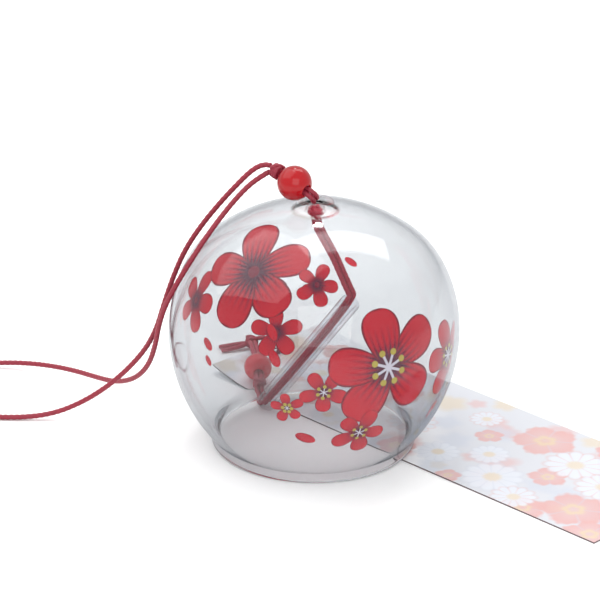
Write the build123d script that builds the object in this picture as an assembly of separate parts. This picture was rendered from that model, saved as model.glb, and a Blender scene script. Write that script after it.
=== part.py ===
from build123d import *
from math import acos, asin, cos, degrees, radians, sin, tan
import os

os.makedirs("parts", exist_ok=True)

# Glass globe, outer outline as four tangent arcs from the rim to the crown
BALL_R = 40.0
BALL_Z = 33.4
BELLY_ARC_R = 46.0
EQUATOR_ARC_R = 39.06
EQUATOR_ARC_END = radians(26.85)
SHOULDER_ARC_R = 24.24
SHOULDER_ARC_END = radians(51.6)
WALL = 1.3

# Rolled rim round the open mouth
RIM_TOP_Z = 3.0
RIM_THICKNESS = 2.0

# Glass collar on the crown, with a funnel above its throat and a knot seat below it
COLLAR_R = 5.25
COLLAR_RISE = 2.035
COLLAR_ROUNDING = 0.8
FUNNEL_R = 2.6
FUNNEL_ROUNDING = 0.4
FUNNEL_DEPTH = 1.0
THROAT_R = 1.75
THROAT_LENGTH = 0.5
SEAT_R = 2.6
SEAT_SLOPE_DEPTH = 0.7

# Lean of the globe, whose rim rides up on the cord that passes under it
LEAN_AZIMUTH = radians(-50.0)
LEAN_RISE = 0.94

# Cord
CORD_D = 1.5
CORD_R = CORD_D / 2
PAIR_SPACING = 1.3
FILLET_SHARE = 0.45
RUNNING_CLEARANCE = 0.07

# Wound knots: round turns of the cord, one above the other
KNOT_R = 2.1
KNOT_LENGTH = 3.4
WRAP_DEPTH = 0.45
WRAP_COUNT = 3
STOPPER_DROP = 2.0
STOPPER_LENGTH = 2.6

# The globe as photographed, on which the places and routes below were taken
PHOTO_BALL_R = 40.0
PHOTO_RIM_R = 28.523
PHOTO_HOLE_TOP = (1.565, -1.865, 72.199)
RIM_CROSSING = (-27.15, 5.58, 0.0)

# Bead above the collar, from the middle of the collar's top
TOP_BEAD_R = 4.75
TOP_BEAD_OFFSET = (-3.946, -3.964, 4.75)
TOP_BEAD_AXIS = (-0.959, -0.076, 0.267)
BORE_ROUNDING = 0.35
BEAD_KNOT_GAP = 0.1

# Clapper tube, leaning inside the globe
TUBE_R = 2.75
TUBE_BORE_R = 1.75
TUBE_ROUNDING = 0.3
TUBE_FOOT = (-23.55, 3.75, 1.9)
TUBE_TOP = (7.0, 7.0, 41.8)
TUBE_MOUTH_RUN = 1.61

# Bead on the tail cord
LOWER_BEAD_R = 4.25
LOWER_BEAD_CENTER = (-38.3, 14.35, 5.3)
LOWER_BEAD_AXIS = (-0.765, 0.633, 0.12)
BEAD_STRAIGHT_BEFORE = 1.0
BEAD_STRAIGHT_AFTER = 3.0

# Knots of the tail
TUBE_KNOT_CENTER = (-32.65, 9.7, 3.05)
TUBE_KNOT_AXIS = (-0.68, 0.54, 0.5)
STRIP_KNOT_CENTER = (-58.8, 30.8, 2.35)
STRIP_KNOT_AXIS = (-0.78, 0.6, 0.0)

# Paper strip, flat on the table, with its left end curled up
STRIP_LEFT_X = -53.2
STRIP_RIGHT_X = 94.8
STRIP_FRONT_Y = 8.2
STRIP_BACK_Y = 57.1
STRIP_THICKNESS = 0.4
STRIP_CURL_X = -30.0
STRIP_CURL_R = 103.5
STRIP_HOLE_R = 2.0
STRIP_HOLE_X = -48.2

# Cord routes, measured from the middle of the globe's mouth on the table
LOOP_ROUTE = [
    (-10.4, -6.5, 80.0), (-12.7, -7.3, 80.2), (-15.3, -9.4, 78.2), (-17.8, -12.3, 74.3),
    (-20.6, -16.1, 69.2), (-23.8, -20.4, 62.6), (-26.8, -23.9, 55.3), (-28.9, -26.4, 47.3),
    (-30.5, -28.3, 39.6), (-32.2, -29.4, 32.6), (-35.3, -30.3, 26.2), (-39.6, -31.8, 20.2),
    (-44.4, -33.7, 14.6), (-49.4, -36.0, 9.6), (-54.7, -39.2, 5.2), (-59.8, -43.9, 2.0),
    (-64.7, -49.7, 0.9), (-70.6, -55.8, 0.8), (-78.0, -62.0, 0.85), (-86.8, -67.3, 0.8),
    (-96.5, -69.4, 0.85), (-105.4, -66.2, 0.8), (-109.8, -57.8, 0.85), (-109.2, -47.4, 0.9),
    (-104.4, -37.6, 1.2), (-96.6, -29.6, 1.8), (-87.0, -25.4, 2.8), (-75.6, -24.3, 4.4),
    (-64.6, -25.2, 6.1), (-55.2, -26.9, 8.2), (-47.0, -28.5, 11.3), (-39.5, -29.9, 15.8),
    (-33.4, -31.2, 22.0), (-29.3, -32.5, 29.4), (-26.5, -33.8, 36.0), (-23.2, -34.6, 42.6),
    (-19.6, -34.0, 49.4), (-17.0, -31.3, 56.0), (-16.0, -26.6, 61.9), (-15.9, -20.6, 67.0),
    (-15.3, -14.6, 71.9), (-13.8, -9.6, 75.9), (-10.9, -6.5, 78.35),
]
CLAPPER_ROUTE = [
    (1.51, -1.8, 70.9), (1.46, -1.7, 65.6), (2.9, 0.4, 60.8), (4.6, 2.8, 55.4),
    (5.8, 4.6, 50.2), (6.9, 6.2, 45.8),
]
FOOT_DROP = 1.45
FOOT_RUN = 2.05
TAIL_HEADING = (-0.815, 0.579, 0.0)
CORD_FLOOR_Z = 0.8
RIM_GAP_RUN = 1.3
NECK_ROUTE_SHARES = [(5.6, 0.0), (6.6, 2.1), (5.42, 5.1)]
TAIL_ROUTE_START = [(-28.6, 6.6, 0.8), (-30.5, 8.0, 1.4)]
TAIL_ROUTE_END = [(-49.8, 23.7, 5.0), (-54.9, 27.8, 4.15)]
LOOP_THROUGH_HOLE = [
    (-57.4, 31.6, 3.7), (-54.6, 32.3, 4.9), (-51.4, 32.6, 4.6), (-48.2, 32.65, 4.3),
    (-48.2, 32.65, 0.85), (-51.8, 32.3, 0.85), (-54.8, 31.6, 0.9), (-57.6, 30.7, 1.6),
]
FRONT_END_ROUTE = [
    (-59.2, 29.8, 1.9), (-60.4, 27.2, 1.3), (-61.5, 24.2, 0.9), (-62.9, 20.8, 0.85),
]
BACK_END_ROUTE = [
    (-59.8, 30.2, 1.9), (-62.2, 28.0, 1.4), (-64.2, 25.3, 0.95), (-65.6, 22.0, 0.85),
]


def polar(center, radius, angle):
    return (center[0] + radius * cos(angle), center[1] + radius * sin(angle))


def arc(center, radius, start, end):
    middle = (start + end) / 2
    ends = [polar(center, radius, angle) for angle in (start, middle, end)]
    return ThreePointArc(*ends)


def wall_arcs(inset):
    """Centers, radii and end angles of the four tangent arcs, moved inwards by the inset."""
    belly = (BALL_R - BELLY_ARC_R, BALL_Z)
    equator = (BALL_R - EQUATOR_ARC_R, BALL_Z)
    shoulder = polar(equator, EQUATOR_ARC_R - SHOULDER_ARC_R, EQUATOR_ARC_END)
    crown_r = SHOULDER_ARC_R + shoulder[0] / cos(SHOULDER_ARC_END)
    crown = polar(shoulder, SHOULDER_ARC_R - crown_r, SHOULDER_ARC_END)
    return [
        (belly, BELLY_ARC_R - inset),
        (equator, EQUATOR_ARC_R - inset),
        (shoulder, SHOULDER_ARC_R - inset),
        (crown, crown_r - inset),
    ]


def wall_outline(inset, foot_angle, crown_half_width):
    """The wall from the rim up to the crown, as tangent arcs."""
    belly, equator, shoulder, crown = wall_arcs(inset)
    crown_end = acos(crown_half_width / crown[1])
    return [
        arc(*belly, foot_angle, 0),
        arc(*equator, 0, EQUATOR_ARC_END),
        arc(*shoulder, EQUATOR_ARC_END, SHOULDER_ARC_END),
        arc(*crown, SHOULDER_ARC_END, crown_end),
    ]


def collar_top():
    """Height of the collar's top above the upright globe's mouth."""
    center, radius = wall_arcs(0)[-1]
    return center[1] + radius + COLLAR_RISE


def collar_outline(outer_foot, inner_foot):
    """The collar from its outer foot over the top and down the hole to the inner crown."""
    height = collar_top()
    side = (COLLAR_R, height - COLLAR_ROUNDING)
    top = (COLLAR_R - COLLAR_ROUNDING, height)
    lip = (FUNNEL_R + FUNNEL_ROUNDING, height)
    funnel = (FUNNEL_R, height - FUNNEL_ROUNDING)
    throat_top = height - FUNNEL_DEPTH
    throat_foot = throat_top - THROAT_LENGTH
    seat = (SEAT_R, throat_foot - SEAT_SLOPE_DEPTH)
    throat = [(THROAT_R, throat_top), (THROAT_R, throat_foot), seat, inner_foot]
    return [
        Line(outer_foot, side),
        RadiusArc(side, top, -COLLAR_ROUNDING),
        Line(top, lip),
        RadiusArc(lip, funnel, -FUNNEL_ROUNDING),
        Polyline(funnel, *throat),
    ]


def rim_outline(outer_top, inner_top):
    """The rolled rim from its inner top round the foot to its outer top."""
    foot_r = RIM_THICKNESS / 2
    inner_foot = (inner_top.X, foot_r)
    outer_foot = (outer_top.X, foot_r)
    bottom = ((inner_top.X + outer_top.X) / 2, 0)
    return [
        Line(inner_top, inner_foot),
        ThreePointArc(inner_foot, bottom, outer_foot),
        Line(outer_foot, outer_top),
    ]


def leaned(shape):
    """Tip a piece of the globe by its lean and lift it so that the rim stands on the table."""
    tip_axis = Axis((0, 0, 0), (-sin(LEAN_AZIMUTH), cos(LEAN_AZIMUTH), 0))
    contact_r = rim_radii()[0] - RIM_THICKNESS / 2
    angle = degrees(asin(LEAN_RISE / contact_r))
    return Pos(0, 0, LEAN_RISE) * shape.rotate(tip_axis, angle)


def rim_radii():
    """Outer radius of the rim, and the angle on the belly arc where the rim begins."""
    center, radius = wall_arcs(0)[0]
    angle = asin((RIM_TOP_Z - center[1]) / radius)
    return center[0] + radius * cos(angle), angle


def glass_globe():
    """A shell with a rolled rim round its mouth and a collar on its crown."""
    rim_r, outer_angle = rim_radii()
    inner_rim_r = rim_r - RIM_THICKNESS
    center, inner_r = wall_arcs(WALL)[0]
    inner_angle = -acos((inner_rim_r - center[0]) / inner_r)
    outer = wall_outline(0, outer_angle, COLLAR_R)
    inner = wall_outline(WALL, inner_angle, SEAT_R)
    collar = collar_outline(outer[-1] @ 1, inner[-1] @ 1)
    rim = rim_outline(outer[0] @ 0, inner[0] @ 0)
    edges = Curve() + [*outer, *collar, *inner, *rim]
    section = Plane.XZ * make_face(edges.edges())
    return leaned(revolve(section, Axis.Z))


def bend_radii(points):
    """At each inner point, a share of the shorter run next to it over the half turn's tangent."""
    corners = [Vector(*point) for point in points]
    radii = []
    for before, corner, after in zip(corners, corners[1:], corners[2:]):
        arriving = corner - before
        leaving = after - corner
        half_turn = radians(arriving.get_angle(leaving) / 2)
        shorter = min(arriving.length, leaving.length)
        radii.append(FILLET_SHARE * shorter / tan(half_turn))
    return radii


def route(name, points):
    radii = bend_radii(points)
    print(name, "radii", [round(radius, 1) for radius in radii])
    return FilletPolyline(*points, radius=radii)


def swept(name, path, section, area):
    cord = sweep(section, path=path)
    print(name, "volume", round(cord.volume, 1), "of", round(area * path.length, 1))
    return cord


def single_cord(name, points):
    """A round cord along rounded corners."""
    path = route(name, points)
    section = Plane(origin=path @ 0, z_dir=path % 0) * Circle(CORD_R)
    return swept(name, path, section, section.area)


def paired_cord(name, points, side):
    """Two strands side by side along one path, joined where they touch."""
    path = route(name, points)
    plane = Plane(origin=path @ 0, x_dir=side, z_dir=path % 0)
    strand = Circle(CORD_R)
    half = PAIR_SPACING / 2
    section = plane * (Pos(half, 0) * strand + Pos(-half, 0) * strand)
    return swept(name, path, section, section.area)


def standing_at(center, axis):
    return Plane(origin=center, z_dir=axis).location


def knot(center, axis, length=KNOT_LENGTH):
    """A wound knot: a barrel of round turns of the cord, one above the other."""
    pitch = length / WRAP_COUNT
    heights = [index * pitch - length / 2 for index in range(WRAP_COUNT + 1)]
    valley_r = KNOT_R - WRAP_DEPTH
    edges = [Line((0, heights[0]), (valley_r, heights[0]))]
    for low, high in zip(heights, heights[1:]):
        edges.append(ThreePointArc((valley_r, low), (KNOT_R, (low + high) / 2), (valley_r, high)))
    edges.append(Polyline((valley_r, heights[-1]), (0, heights[-1]), (0, heights[0])))
    outline = Curve() + edges
    barrel = revolve(Plane.XZ * make_face(outline.edges()), Axis.Z)
    return standing_at(center, axis) * barrel


def bead(center, axis, radius):
    """A ball with a bore that runs on a doubled cord, rounded at both ends."""
    bore_r = CORD_R + PAIR_SPACING / 2 + RUNNING_CLEARANCE
    drilled = Sphere(radius) - Cylinder(bore_r, 2 * radius)
    rounded = fillet(drilled.edges().filter_by(GeomType.CIRCLE), BORE_ROUNDING)
    return standing_at(center, axis) * rounded


def hole_top():
    """Middle of the collar's top on the leaning globe."""
    return leaned(Vertex(0, 0, collar_top())).center()


def hole_shift():
    """How far the hole has moved from its place in the photograph, when the globe is resized."""
    return hole_top() - Vector(*PHOTO_HOLE_TOP)


def rim_shift():
    """How far the rim has moved where the cord passes under it, when the globe is resized."""
    return Vector(*RIM_CROSSING) * (rim_radii()[0] / PHOTO_RIM_R - 1)


def beyond_rim(points):
    """Places of the tail and the strip, which keep their distance from the rim."""
    shift = rim_shift()
    return [tuple(Vector(*point) + shift) for point in points]


def down_globe(points):
    """Places of the loop, which keeps to the hole at its top and to the globe's side below."""
    growth = BALL_R / PHOTO_BALL_R - 1
    shift = hole_shift()
    placed = []
    for x, y, z in points:
        share = min(1, max(0, (z - BALL_Z) / (PHOTO_HOLE_TOP[2] - BALL_Z)))
        spread = 1 + growth * (1 - share**2)
        placed.append(tuple(Vector(x * spread, y * spread, z) + shift * share))
    return placed


def tube_frame():
    """Foot, upward direction and length of the clapper tube."""
    foot = Vector(*TUBE_FOOT) + rim_shift()
    axis = Vector(*TUBE_TOP) - foot
    return foot, axis.normalized(), axis.length


def clapper_tube():
    foot, axis, length = tube_frame()
    wall = Cylinder(TUBE_R, length) - Cylinder(TUBE_BORE_R, length)
    rounded = fillet(wall.edges().filter_by(GeomType.CIRCLE), TUBE_ROUNDING)
    return standing_at(foot + axis * (length / 2), axis) * rounded


def foot_points():
    """Where the doubled cord leaves the tube's foot, turns outwards and stops short of the tail."""
    foot, axis, length = tube_frame()
    turn = foot - axis * FOOT_DROP
    turn = Vector(turn.X, turn.Y, CORD_FLOOR_Z)
    heading = Vector(*TAIL_HEADING)
    return turn, turn + heading * FOOT_RUN, turn + heading * (FOOT_RUN + RIM_GAP_RUN)


def clapper_cord():
    """The doubled cord, lying flat where it ends and followed back up to the stopper knot."""
    turn, end, tail_start = foot_points()
    foot, axis, length = tube_frame()
    mouth = foot + axis * (length + TUBE_MOUTH_RUN)
    last = len(CLAPPER_ROUTE)
    hung = []
    for index, point in enumerate(CLAPPER_ROUTE):
        hung.append(tuple(Vector(*point) + hole_shift() * (1 - index / last)))
    points = [tuple(end), tuple(turn), tuple(mouth), *reversed(hung)]
    return paired_cord("clapper_cord", points, Vector(*TAIL_HEADING).cross(Vector(0, 0, 1)))


def neck_frame():
    """Bead center, the direction out of its right eye, and the direction down to the hole."""
    center = hole_top() + Vector(*TOP_BEAD_OFFSET)
    out = (Vector(*TOP_BEAD_AXIS) * -1).normalized()
    across = hole_top() - center
    down = (across - out * across.dot(out)).normalized()
    return center, out, down


def neck_cord():
    center, out, down = neck_frame()
    start = center - out * loop_knot_distance()
    bends = [center + out * along + down * drop for along, drop in NECK_ROUTE_SHARES]
    points = [tuple(point) for point in (start, *bends)]
    return paired_cord("neck_cord", points, out.cross(down))


def loop_knot_distance():
    return TOP_BEAD_R + BEAD_KNOT_GAP + KNOT_LENGTH / 2


def loop_knot():
    center, out, down = neck_frame()
    return knot(center - out * loop_knot_distance(), out)


def stopper_knot():
    """The knot under the throat that carries the globe when the bell hangs."""
    height = collar_top() - STOPPER_DROP - STOPPER_LENGTH / 2
    return leaned(knot((0, 0, height), (0, 0, 1), STOPPER_LENGTH))


def tail_cord():
    """From under the rim through the tube knot and the lower bead to the strip knot."""
    start = tuple(foot_points()[2])
    center = Vector(*LOWER_BEAD_CENTER) + rim_shift()
    axis = Vector(*LOWER_BEAD_AXIS)
    before = tuple(center - axis * (LOWER_BEAD_R + BEAD_STRAIGHT_BEFORE))
    after = tuple(center + axis * (LOWER_BEAD_R + BEAD_STRAIGHT_AFTER))
    rise = beyond_rim(TAIL_ROUTE_START)
    fall = beyond_rim([*TAIL_ROUTE_END, STRIP_KNOT_CENTER])
    points = [start, *rise, before, after, *fall]
    return paired_cord("tail_cord", points, Vector(*TAIL_HEADING).cross(Vector(0, 0, 1)))


def paper_strip():
    """A flat card whose left end rises along an arc, with a punched hole near that end."""
    curl_angle = asin((STRIP_CURL_X - STRIP_LEFT_X) / STRIP_CURL_R)
    center = (STRIP_CURL_X, STRIP_CURL_R)
    down = radians(-90)
    lower = arc(center, STRIP_CURL_R, down, down - curl_angle)
    upper = arc(center, STRIP_CURL_R - STRIP_THICKNESS, down, down - curl_angle)
    corners = [upper @ 0, (STRIP_RIGHT_X, STRIP_THICKNESS), (STRIP_RIGHT_X, 0), lower @ 0]
    edges = Curve() + [lower, upper, Polyline(*corners), Line(lower @ 1, upper @ 1)]
    side = Plane.XZ * make_face(edges.edges())
    sheet = Pos(0, STRIP_BACK_Y, 0) * extrude(side, STRIP_BACK_Y - STRIP_FRONT_Y)
    middle = (STRIP_FRONT_Y + STRIP_BACK_Y) / 2
    punch = Pos(STRIP_HOLE_X, middle, 0) * Cylinder(STRIP_HOLE_R, STRIP_CURL_R)
    return Pos(rim_shift()) * (sheet - punch)


def cord_ends():
    """The two cut ends of the cord, side by side as they leave the knot."""
    front = single_cord("front_end", beyond_rim(FRONT_END_ROUTE))
    return front + single_cord("back_end", beyond_rim(BACK_END_ROUTE))


def pieces():
    neck = neck_cord()
    clapper = clapper_cord()
    tail = tail_cord()
    top_knot = loop_knot()
    low_bead_center, tube_knot_center, end_knot_center = beyond_rim(
        [LOWER_BEAD_CENTER, TUBE_KNOT_CENTER, STRIP_KNOT_CENTER]
    )
    end_knot = knot(end_knot_center, STRIP_KNOT_AXIS)
    return {
        "glass_globe": glass_globe(),
        "hanging_loop": single_cord("hanging_loop", down_globe(LOOP_ROUTE)) - top_knot,
        "loop_knot": top_knot,
        "neck_cord": neck - top_knot,
        "top_bead": bead(neck_frame()[0], TOP_BEAD_AXIS, TOP_BEAD_R),
        "stopper_knot": stopper_knot() - clapper,
        "clapper_cord": clapper,
        "clapper_tube": clapper_tube(),
        "tail_cord": tail - end_knot,
        "tube_knot": knot(tube_knot_center, TUBE_KNOT_AXIS) - tail,
        "lower_bead": bead(low_bead_center, LOWER_BEAD_AXIS, LOWER_BEAD_R),
        "strip_knot": end_knot,
        "strip_loop": single_cord("strip_loop", beyond_rim(LOOP_THROUGH_HOLE)) - end_knot,
        "cord_ends": cord_ends() - end_knot,
        "paper_strip": paper_strip(),
    }


def main():
    shapes = pieces()
    boxes = [shape.bounding_box() for name, shape in shapes.items() if name != "hanging_loop"]
    low_x = min(box.min.X for box in boxes)
    high_x = max(box.max.X for box in boxes)
    low_y = min(box.min.Y for box in boxes)
    high_y = max(box.max.Y for box in boxes)
    shift = Pos(-(low_x + high_x) / 2, -(low_y + high_y) / 2, 0)
    print("mouth center", round(-(low_x + high_x) / 2, 4), round(-(low_y + high_y) / 2, 4))
    for name, shape in shapes.items():
        placed = shift * shape
        box = placed.bounding_box()
        print(name, "solids", len(placed.solids()), "z", round(box.min.Z, 3), round(box.max.Z, 3))
        export_step(placed, f"parts/{name}.step")


main()
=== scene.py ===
import bpy
import numpy as np
from mathutils import Matrix, Vector


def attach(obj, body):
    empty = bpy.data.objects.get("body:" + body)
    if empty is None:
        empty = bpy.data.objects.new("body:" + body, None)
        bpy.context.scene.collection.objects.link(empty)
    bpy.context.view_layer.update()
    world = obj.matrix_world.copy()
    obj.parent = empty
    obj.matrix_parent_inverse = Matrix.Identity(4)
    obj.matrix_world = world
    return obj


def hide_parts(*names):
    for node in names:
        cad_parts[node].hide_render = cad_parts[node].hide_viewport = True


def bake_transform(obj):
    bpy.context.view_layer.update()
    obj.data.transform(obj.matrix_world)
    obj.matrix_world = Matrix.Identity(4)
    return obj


bl_info = {
    "name": "Glass wind bell",
    "version": (1, 0, 0),
    "blender": (4, 5, 0),
    "location": "3D View > Sidebar > Wind bell",
    "description": "Builds a painted glass wind bell with its cord, beads, clapper and strip",
    "category": "Add Mesh",
}

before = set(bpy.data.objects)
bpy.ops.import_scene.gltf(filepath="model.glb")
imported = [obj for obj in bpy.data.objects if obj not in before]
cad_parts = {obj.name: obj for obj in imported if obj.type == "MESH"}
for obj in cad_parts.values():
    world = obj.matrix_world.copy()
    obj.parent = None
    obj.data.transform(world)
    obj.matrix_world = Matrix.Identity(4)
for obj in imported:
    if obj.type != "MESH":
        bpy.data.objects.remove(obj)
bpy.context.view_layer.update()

MM = 0.001

# Middle of the globe's mouth on the table, in the row frame
MOUTH = np.array([-0.0142547, -0.0081132, 0.0])

# Globe, as in the CAD: the four wall arcs, the rim, the collar and the lean
BALL_R = 0.040
BALL_Z = 0.0334
BELLY_ARC_R = 0.046
EQUATOR_ARC_R = 0.03906
EQUATOR_ARC_END = np.radians(26.85)
SHOULDER_ARC_R = 0.02424
SHOULDER_ARC_END = np.radians(51.6)
WALL = 0.0013
RIM_TOP_Z = 0.003
RIM_THICKNESS = 0.002
COLLAR_R = 0.00525
COLLAR_TOP_Z = 0.0713
COLLAR_ROUNDING = 0.0008
SEAT_R = 0.0026
SEAT_Z = 0.0691
THROAT_R = 0.00175
THROAT_TOP_Z = 0.0703
THROAT_FOOT_Z = 0.0698
FUNNEL_R = 0.0030
FUNNEL_ROUNDING = 0.0004
LEAN_AZIMUTH = np.radians(-50.0)
LEAN_RISE = 0.00094
HOLE_CENTER = (0.0016, -0.0019, 0.0695)

# Glass, seen: heights between which the belly's tint, grey as a painted reflection of the room,
# fades to the crown's, distances from the hole between which the collar clears, and how each colour
# fades or brightens there
GLASS_IOR = 1.46
CROWN_FADE_Z = (0.055, 0.069)
COLLAR_FADE = (0.0068, 0.0057)
COLLAR_TINT = (0.985, 0.988, 0.99, 1.0)
# Painted shade: the lighter grey of the collar's edges seen edge on
COLLAR_EDGE_SHADE = (0.75, 0.76, 0.77, 1.0)
WALL_MIRROR = (0.72, 0.73, 0.75, 1.0)
COLLAR_MIRROR = (1.0, 1.0, 1.0, 1.0)
COLLAR_ROUGHNESS = 0.3
COLLAR_OPEN_SHARE = 0.8

# Beads, tube and knots, as in the CAD, and the cord that is wound round a knot
TOP_BEAD_R = 0.00475
TOP_BEAD_CENTER = (-0.00238, -0.00583, 0.07695)
TOP_BEAD_AXIS = (-0.959, -0.076, 0.267)
LOWER_BEAD_R = 0.00425
LOWER_BEAD_CENTER = (-0.0383, 0.01435, 0.0053)
LOWER_BEAD_AXIS = (-0.765, 0.633, 0.12)
BORE_R = 0.00147
BORE_ROUNDING = 0.0003
TUBE_R = 0.00275
TUBE_BORE_R = 0.00175
TUBE_FOOT = (-0.02355, 0.00375, 0.0019)
TUBE_TOP = (0.0070, 0.0070, 0.0418)
TUBE_KNOT_CENTER = (-0.03265, 0.0097, 0.00305)
TUBE_KNOT_AXIS = (-0.68, 0.54, 0.5)
STRIP_KNOT_CENTER = (-0.0588, 0.0308, 0.00235)
STRIP_KNOT_AXIS = (-0.78, 0.6, 0.0)
STOPPER_KNOT_CENTER_Z = 0.068
STOPPER_KNOT_AXIS = (0.026, -0.031, 0.999)
STOPPER_KNOT_LENGTH = 0.0026
KNOT_R = 0.0021
KNOT_LENGTH = 0.0034
KNOT_TURNS = 3
KNOT_GAP = 0.0001
WRAP_R = 0.00062

# Cord: radius of the free loop and of one strand of a doubled cord, half the spacing of its two
# strands, the rise of the twist from ply to ply, the depth of the groove between plies as a share
# of the radius, and the direction in which the clapper cord and the tail run
CORD_R = 0.00075
STRAND_R = 0.00072
PAIR_HALF = 0.00070
TWIST_PITCH = 0.0016
PLIES = 3
PLY_DEPTH = 0.14
CORD_HEADING = (-0.815, 0.579, 0.0)

# Mesh of a cord: distance between its rings, and points in a ring
ROUTE_SPACING = 0.00025
STRAND_COLUMNS = 18

# Strip, as in the CAD, and how far the square ring of faces round its hole reaches
STRIP_LEFT_X = -0.0532
STRIP_RIGHT_X = 0.0948
STRIP_FRONT_Y = 0.0082
STRIP_BACK_Y = 0.0571
STRIP_THICKNESS = 0.0004
STRIP_CURL_X = -0.030
STRIP_CURL_R = 0.1035
STRIP_HOLE_R = 0.002
STRIP_HOLE_X = -0.0482
STRIP_RING_REACH = 0.005

# Cord routes, measured from the middle of the mouth
LOOP_ROUTE = [
    (-0.0104, -0.0065, 0.0800), (-0.0127, -0.0073, 0.0802), (-0.0153, -0.0094, 0.0782),
    (-0.0178, -0.0123, 0.0743), (-0.0206, -0.0161, 0.0692), (-0.0238, -0.0204, 0.0626),
    (-0.0268, -0.0239, 0.0553), (-0.0289, -0.0264, 0.0473), (-0.0305, -0.0283, 0.0396),
    (-0.0322, -0.0294, 0.0326), (-0.0353, -0.0303, 0.0262), (-0.0396, -0.0318, 0.0202),
    (-0.0444, -0.0337, 0.0146), (-0.0494, -0.0360, 0.0096), (-0.0547, -0.0392, 0.0052),
    (-0.0598, -0.0439, 0.0020), (-0.0647, -0.0497, 0.0009), (-0.0706, -0.0558, 0.0008),
    (-0.0780, -0.0620, 0.00085), (-0.0868, -0.0673, 0.0008), (-0.0965, -0.0694, 0.00085),
    (-0.1054, -0.0662, 0.0008), (-0.1098, -0.0578, 0.00085), (-0.1092, -0.0474, 0.0009),
    (-0.1044, -0.0376, 0.0012), (-0.0966, -0.0296, 0.0018), (-0.0870, -0.0254, 0.0028),
    (-0.0756, -0.0243, 0.0044), (-0.0646, -0.0252, 0.0061), (-0.0552, -0.0269, 0.0082),
    (-0.0470, -0.0285, 0.0113), (-0.0395, -0.0299, 0.0158), (-0.0334, -0.0312, 0.0220),
    (-0.0293, -0.0325, 0.0294), (-0.0265, -0.0338, 0.0360), (-0.0232, -0.0346, 0.0426),
    (-0.0196, -0.0340, 0.0494), (-0.0170, -0.0313, 0.0560), (-0.0160, -0.0266, 0.0619),
    (-0.0159, -0.0206, 0.0670), (-0.0153, -0.0146, 0.0719), (-0.0138, -0.0096, 0.0759),
    (-0.0109, -0.0065, 0.07835),
]
CLAPPER_ROUTE = [
    (0.00151, -0.0018, 0.0709), (0.00146, -0.0017, 0.0656), (0.0029, 0.0004, 0.0608),
    (0.0046, 0.0028, 0.0554), (0.0058, 0.0046, 0.0502), (0.0069, 0.0062, 0.0458),
    (0.00798, 0.0071, 0.04308), (-0.02443, 0.00366, 0.0008), (-0.02610, 0.00484, 0.0008),
]
NECK_ROUTE = [
    (-0.00867, -0.00633, 0.07870), (0.00300, -0.00540, 0.07545), (0.00345, -0.00384, 0.07379),
    (0.00160, -0.00180, 0.07212),
]
TAIL_ROUTE = [
    (-0.02650, 0.00513, 0.0008), (-0.0286, 0.0066, 0.0008), (-0.0305, 0.0080, 0.0014),
    (-0.03428, 0.01103, 0.00467), (-0.04385, 0.01894, 0.00617), (-0.0498, 0.0237, 0.0050),
    (-0.0549, 0.0278, 0.00415), (-0.0588, 0.0308, 0.00235),
]
STRIP_LOOP_ROUTE = [
    (-0.0574, 0.0316, 0.0037), (-0.0546, 0.0323, 0.0049), (-0.0514, 0.0326, 0.0046),
    (-0.0482, 0.03265, 0.0043), (-0.0482, 0.03265, 0.00085), (-0.0518, 0.0323, 0.00085),
    (-0.0548, 0.0316, 0.0009), (-0.0576, 0.0307, 0.0016),
]
END_ROUTES = [
    [
        (-0.0592, 0.0298, 0.0019), (-0.0604, 0.0272, 0.0013), (-0.0615, 0.0242, 0.0009),
        (-0.0629, 0.0208, 0.00085),
    ],
    [
        (-0.0598, 0.0302, 0.0019), (-0.0622, 0.0280, 0.0014), (-0.0642, 0.0253, 0.00095),
        (-0.0656, 0.0220, 0.00085),
    ],
]

# Blossoms as azimuth in degrees, height along the wall, radius, turns of the petals in degrees
BLOSSOMS = [
    (-14.5, 0.0379, 0.0166, (95, 172, 232, 316, 28)),
    (21.0, 0.0335, 0.0104, (100, 172, 244, 316, 28)),
    (-41.0, 0.0331, 0.0063, (124, 196, 268, 340, 52)),
    (-55.2, 0.0281, 0.0045, (100, 172, 244, 316, 28)),
    (-25.7, 0.0193, 0.0074, (62, 134, 206, 278, 350)),
    (162.3, 0.0357, 0.0170, (95, 168, 240, 308, 20)),
    (-163.5, 0.0335, 0.0092, (66, 138, 210, 282, 354)),
    (134.0, 0.0300, 0.0066, (112, 184, 256, 328, 40)),
    (153.5, 0.0163, 0.0078, (96, 168, 240, 312, 24)),
]

# Loose petals as azimuth in degrees, height along the wall, length, turn in degrees
LOOSE_PETALS = [
    (-48.2, 0.0183, 0.0056, -25.0), (15.3, 0.0180, 0.0056, 60.0), (-62.5, 0.0484, 0.0046, 120.0),
    (-60.5, 0.0417, 0.0048, -60.0), (-91.6, 0.0408, 0.0040, -35.0),
    (-90.4, 0.0365, 0.0030, -50.0), (-20.5, 0.0680, 0.0038, -60.0),
]

# Blossoms larger than this have wider petals and more stamens
LARGE_BLOSSOM_R = 0.010

# Depth of each layer of paint behind the inside of the wall; each petal lies over the last
PETAL_DEPTH = 0.05 * MM
PETAL_STEP = 0.014 * MM
HEART_DEPTH = 0.14 * MM
THREAD_DEPTH = 0.03 * MM
TIP_DEPTH = 0.02 * MM
LEAST_TIP_R = 0.5 * MM
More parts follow.
